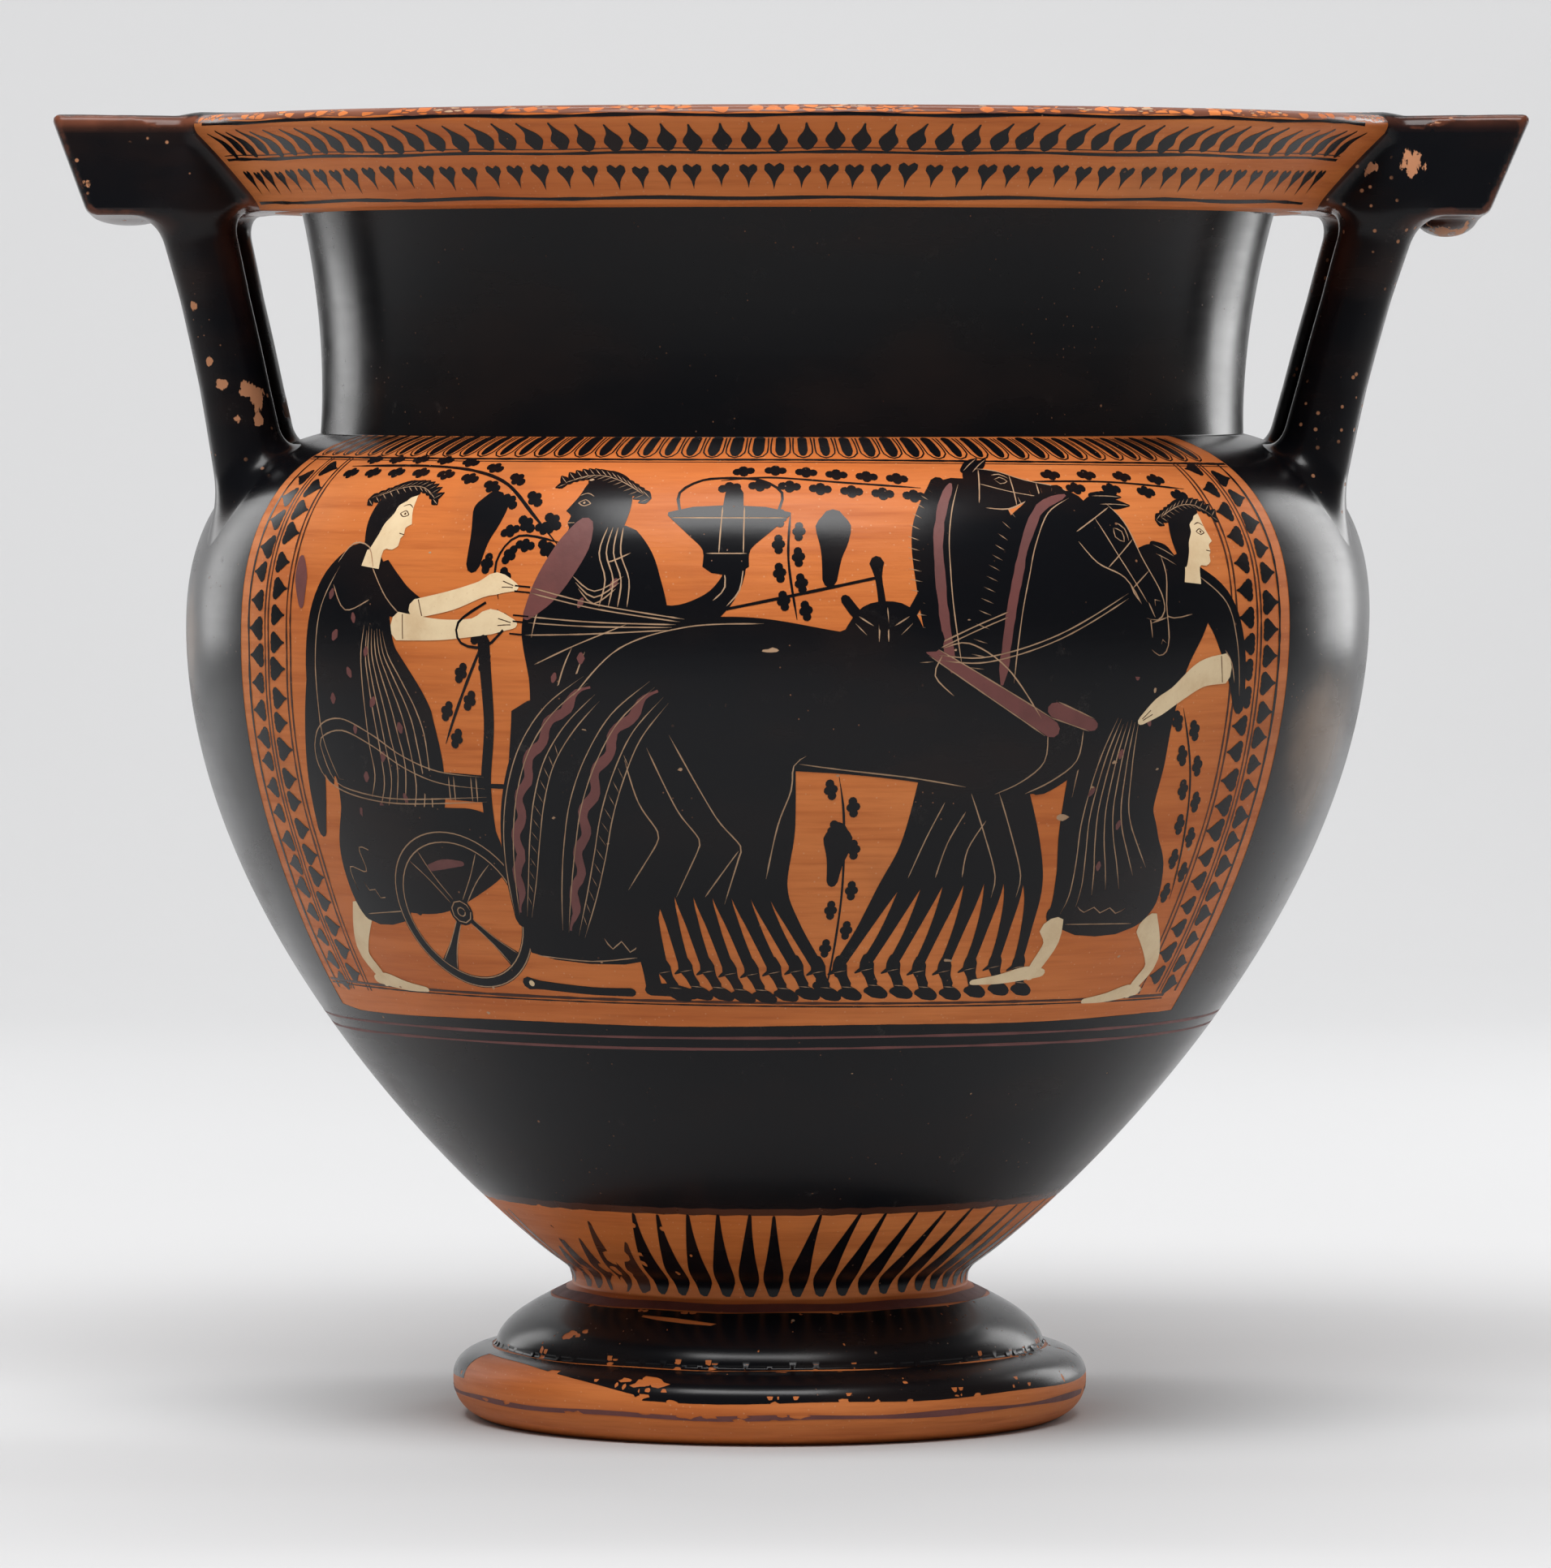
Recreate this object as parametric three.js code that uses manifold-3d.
// Greek column krater: one fired clay mixing bowl with two handles.
// Millimetres, +Z up, origin on the ground under the middle of the rim; +X and -X carry the handles,
// and -Y is the side with the main picture.

import * as THREE from 'three';
import { mergeVertices } from 'three/addons/utils/BufferGeometryUtils.js';
import Module from 'manifold-3d';

// ---- driving dimensions -------------------------------------------------------------------------

const HEIGHT = 400; // ground to the flat top of the rim
const LEAN = 6.6; // how far the rim leans towards +X over the foot

const REST_RADIUS = 89; // outer edge of the resting ring
const REST_INNER_RADIUS = 76;
const FOOT_HOLLOW = 31; // height of the hollow under the foot
const FOOT_RADIUS = 98;
const FOOT_STEP = 22.8; // groove between the two mouldings of the foot
const STEM_RADIUS = 61; // where the bowl meets the foot
const STEM_Z = 46;

const BELLY_RADIUS = 182.3;
const BELLY_Z = 247;
const NECK_RADIUS = 141.3;
const NECK_Z = 303.5;
const NECK_TOP_RADIUS = 149.5;

const RIM_RADIUS = 189;
const RIM_UNDER_RADIUS = 168;
const RIM_UNDER_Z = 371.5;
const RIM_EDGE = 3.2; // rounded lip on the rim's outer edge
const MOUTH_RADIUS = 152; // inner edge of the rim's flat top

const WALL = 6.5;
const FLOOR_Z = 54; // inside of the bowl, on the axis

const PLATE_HALF_WIDTH = 50.5; // handle plate, along Y
const PLATE_REACH = 224; // outer edge of the plate's top, at its corners
const PLATE_BOW = 2.5; // how far the outer edge bows out in the middle
const PLATE_UNDERCUT = 12; // outer edge slopes in this far towards the underside
const PLATE_UNDER_Z = 370;
const PLATE_ROOT = 145; // buried end of the plate, inside the rim
const PLATE_CORNER = 5;

const COLUMN_SPREAD = 39.5; // column centres, each side of the middle
const COLUMN_RADIUS = 10.3;
const COLUMN_FLARE = 7; // extra radius where a column runs into the plate
const COLUMN_FOOT_FLARE = 3.5; // and where it runs into the shoulder
const COLUMN_BASE = [163, 300]; // x and z of a column's centre line just above the shoulder
const COLUMN_SLOPE = 0.21;
const COLUMN_CURVE = 0.0006;

const AROUND = 56; // facets around the bowl
const CHORD = 16; // longest step along a curve of the profile

const wasm = await Module();
wasm.setup();

// ---- solids -------------------------------------------------------------------------------------

/** A closed three.js geometry as a solid that can be joined and cut. */
function solid(geometry) {
  const bare = geometry.toNonIndexed();
  bare.deleteAttribute('normal');
  bare.deleteAttribute('uv');
  const merged = mergeVertices(bare, 1e-4);
  return new wasm.Manifold(new wasm.Mesh({
    numProp: 3,
    vertProperties: merged.attributes.position.array,
    triVerts: new Uint32Array(merged.index.array),
  }));
}

/** The solid back as a geometry, after the slump that the fired pot has. */
function geometryOf(manifold) {
  const mesh = manifold.getMesh();
  const position = Float32Array.from(mesh.vertProperties);
  for (let i = 0; i < position.length; i += 3) {
    position[i] += LEAN * ((position[i + 2] / HEIGHT) ** 2 - 1);
  }
  const geometry = new THREE.BufferGeometry();
  geometry.setAttribute('position', new THREE.BufferAttribute(position, 3));
  geometry.setIndex(new THREE.BufferAttribute(new Uint32Array(mesh.triVerts), 1));
  geometry.computeVertexNormals();
  return geometry;
}

/**
 * A profile of [radius, z] points. Each section goes on from the last point: one point is a straight
 * line, two are a quadratic curve's control and end, and three are a cubic curve's.
 */
function profile(start, ...sections) {
  const points = [new THREE.Vector2(...start)];
  for (const section of sections) {
    const controls = [points.at(-1), ...section.map((point) => new THREE.Vector2(...point))];
    const Curve = [THREE.LineCurve, THREE.QuadraticBezierCurve, THREE.CubicBezierCurve][section.length - 1];
    const curve = new Curve(...controls);
    const steps = section.length === 1 ? 1 : Math.max(2, Math.round(curve.getLength() / CHORD));
    points.push(...curve.getPoints(steps).slice(1));
  }
  return points;
}

/** A profile turned on the wheel about +Z. */
function turned(points) {
  const geometry = new THREE.LatheGeometry(points, AROUND);
  return solid(geometry.rotateX(Math.PI / 2));
}

/** A closed skin through level rings of points, from the lowest ring to the highest. */
function lofted(rings) {
  const count = rings[0].length;
  const index = [];
  for (let r = 0; r + 1 < rings.length; r += 1) {
    for (let i = 0; i < count; i += 1) {
      const a = r * count + i;
      const b = r * count + ((i + 1) % count);
      index.push(a, b, b + count, a, b + count, a + count);
    }
  }
  const top = (rings.length - 1) * count;
  for (let i = 1; i + 1 < count; i += 1) {
    index.push(0, i + 1, i);
    index.push(top, top + i, top + i + 1);
  }
  const geometry = new THREE.BufferGeometry();
  geometry.setAttribute('position', new THREE.Float32BufferAttribute(rings.flat(2), 3));
  geometry.setIndex(index);
  return solid(geometry);
}

// ---- the bowl -----------------------------------------------------------------------------------

/** Outside of the whole pot, from the hollow under the foot up to the middle of the mouth. */
function outerProfile() {
  const step = FOOT_RADIUS - 12;
  return profile(
    [0, FOOT_HOLLOW],
    [[34, FOOT_HOLLOW - 3]],
    [[62, 20], [REST_INNER_RADIUS - 4, 4]],
    [[REST_INNER_RADIUS, 0]],
    [[REST_RADIUS, 0]],
    [[FOOT_RADIUS, 3], [FOOT_RADIUS, 12]],
    [[FOOT_RADIUS, 20.4], [step, FOOT_STEP - 1]],
    [[step - 1.5, FOOT_STEP + 1]],
    [[step - 4, 31], [72, 35.6], [STEM_RADIUS + 0.3, STEM_Z - 5.2]],
    [[STEM_RADIUS - 0.2, STEM_Z - 0.6], [STEM_RADIUS + 2.7, STEM_Z + 1.5]],
    [[83, 60.1], [BELLY_RADIUS, 148.3], [BELLY_RADIUS, BELLY_Z]],
    [[BELLY_RADIUS, 282], [164, 298], [NECK_RADIUS + 0.8, NECK_Z]],
    [[NECK_RADIUS - 0.6, 335], [NECK_TOP_RADIUS, RIM_UNDER_Z - 0.5]],
    [[RIM_UNDER_RADIUS, RIM_UNDER_Z]],
    [[177, 384], [RIM_RADIUS - 1.5, HEIGHT - 2 * RIM_EDGE + 1]],
    [[RIM_RADIUS + 1, HEIGHT - 1.5], [RIM_RADIUS - RIM_EDGE, HEIGHT]],
    [[0, HEIGHT]],
  );
}

/** The hollow inside, running out through the mouth. */
function cavityProfile() {
  const belly = BELLY_RADIUS - WALL;
  const neck = NECK_RADIUS - WALL;
  return profile(
    [0, FLOOR_Z],
    [[74, FLOOR_Z + 2], [belly, 146], [belly, BELLY_Z]],
    [[belly, 279], [158, 291], [neck + 0.8, NECK_Z - 5]],
    [[neck - 0.6, 348], [MOUTH_RADIUS - 6, HEIGHT - 6]],
    [[MOUTH_RADIUS, HEIGHT - 1.2]],
    [[MOUTH_RADIUS + 18, HEIGHT + 2]],
    [[0, HEIGHT + 2]],
  );
}

// ---- the handles --------------------------------------------------------------------------------

/** One column: a tapering rod from inside the shoulder up into the plate. */
function column(side, y) {
  const rings = [];
  const sides = 12;
  const low = 264;
  const high = PLATE_UNDER_Z + 22;
  const steps = 9;
  for (let s = 0; s <= steps; s += 1) {
    const z = low + ((high - low) * s) / steps;
    const up = z - COLUMN_BASE[1];
    const centre = COLUMN_BASE[0] + COLUMN_SLOPE * up + COLUMN_CURVE * up * up;
    const nearPlate = THREE.MathUtils.smoothstep(z, PLATE_UNDER_Z - 28, PLATE_UNDER_Z + 6);
    const nearShoulder = 1 - THREE.MathUtils.smoothstep(z, 272, 318);
    const flare = COLUMN_FLARE * nearPlate ** 2 + COLUMN_FOOT_FLARE * nearShoulder;
    // The flare runs along the plate, and the column's outer faces stay in line with the plate's.
    const across = COLUMN_RADIUS + Math.min(flare, COLUMN_FOOT_FLARE) * 0.4;
    rings.push(Array.from({ length: sides }, (_, i) => {
      const angle = (i / sides) * 2 * Math.PI;
      const x = centre + (COLUMN_RADIUS + flare) * Math.cos(angle);
      return [side * x, y + side * across * Math.sin(angle), z];
    }));
  }
  return lofted(rings);
}

/** The plate over both columns, rounded at its two outer corners and sloping in below. */
function plate(side) {
  const corner = [0, 1, 2, 3].map((i) => (i / 3) * (Math.PI / 2));
  const level = (z, reach, inset) => {
    const half = PLATE_HALF_WIDTH - inset;
    const x = reach - inset - PLATE_CORNER;
    const y = half - PLATE_CORNER;
    const outline = [[PLATE_ROOT, -half]];
    corner.forEach((a) => outline.push([x + PLATE_CORNER * Math.sin(a), -y - PLATE_CORNER * Math.cos(a)]));
    outline.push([x + PLATE_CORNER + PLATE_BOW, 0]);
    corner.forEach((a) => outline.push([x + PLATE_CORNER * Math.cos(a), y + PLATE_CORNER * Math.sin(a)]));
    outline.push([PLATE_ROOT, half]);
    return outline.map(([px, py]) => [side * px, side * py, z]);
  };
  const low = PLATE_REACH - PLATE_UNDERCUT;
  return lofted([
    level(PLATE_UNDER_Z, low, 1.5),
    level(PLATE_UNDER_Z + 2, low, 0),
    level(HEIGHT - 1.5, PLATE_REACH, 0),
    level(HEIGHT + 0.6, PLATE_REACH, 2),
  ]);
}

/** A thumbed lump of clay left under the plate, between the columns. */
function lump(side, drop) {
  const geometry = new THREE.SphereGeometry(1, 12, 6);
  geometry.scale(9.5, 19, drop);
  geometry.translate(side * 203, 0, PLATE_UNDER_Z);
  return solid(geometry);
}

// ---- the krater ---------------------------------------------------------------------------------

let krater = turned(outerProfile());
for (const side of [-1, 1]) {
  krater = krater.add(plate(side)).add(lump(side, side > 0 ? 6 : 2.5));
  for (const y of [-COLUMN_SPREAD, COLUMN_SPREAD]) {
    krater = krater.add(column(side, y));
  }
}
krater = krater.subtract(turned(cavityProfile()));

const glossedClay = new THREE.MeshStandardMaterial({ color: 0x2a2320, roughness: 0.3, metalness: 0 });
const vessel = new THREE.Mesh(geometryOf(krater), glossedClay);
vessel.name = 'krater';

const group = new THREE.Group();
group.add(vessel);

export default group;
